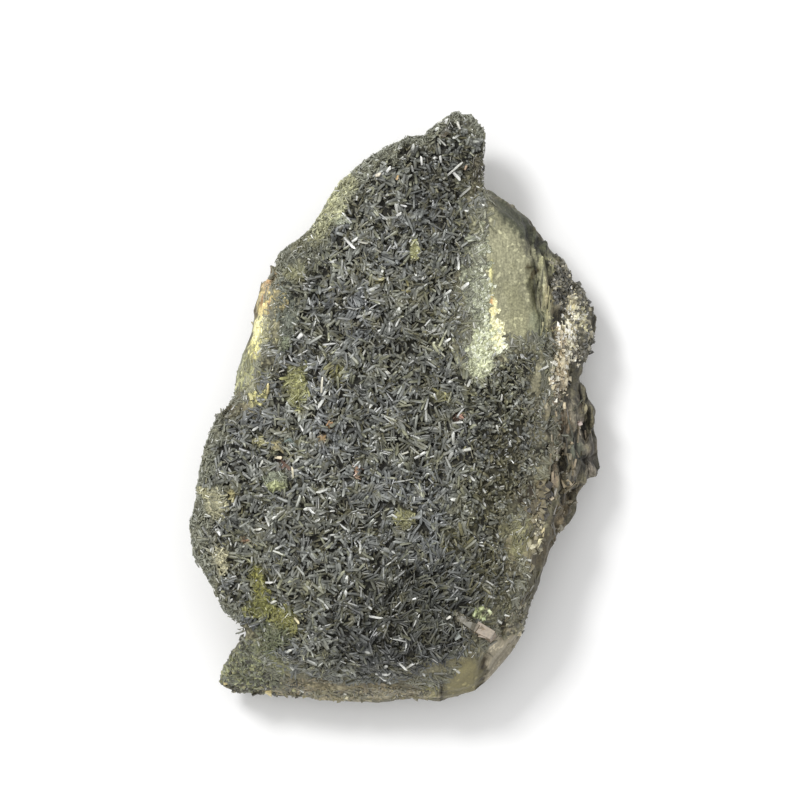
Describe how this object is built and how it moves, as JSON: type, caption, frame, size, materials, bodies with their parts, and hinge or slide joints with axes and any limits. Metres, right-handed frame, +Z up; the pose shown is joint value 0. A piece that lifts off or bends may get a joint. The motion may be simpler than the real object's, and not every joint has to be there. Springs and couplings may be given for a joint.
{
  "type": "rough epidote specimen",
  "caption": "Rough slab of foliated olive-grey rock with a matted crust of small dark green-black epidote needles over its front face, lying on its flat back.",
  "frame": {"origin": "centre of the bounding box's bottom face, on the surface the slab rests on", "axes": "+Z up, out of the crystal face; +Y along the slab's length, towards its horn; +X to the right seen from the crystal side"},
  "size_m": [0.0694, 0.1008, 0.0277],
  "materials": {
    "host_rock": "rough, foliated, olive grey with pale yellow-green patches",
    "epidote_crust": "glassy dark green-black needles, matted"
  },
  "bodies": {
    "root": {"host_rock": "host_rock", "epidote_crust": "epidote_crust"}
  },
  "joints": []
}
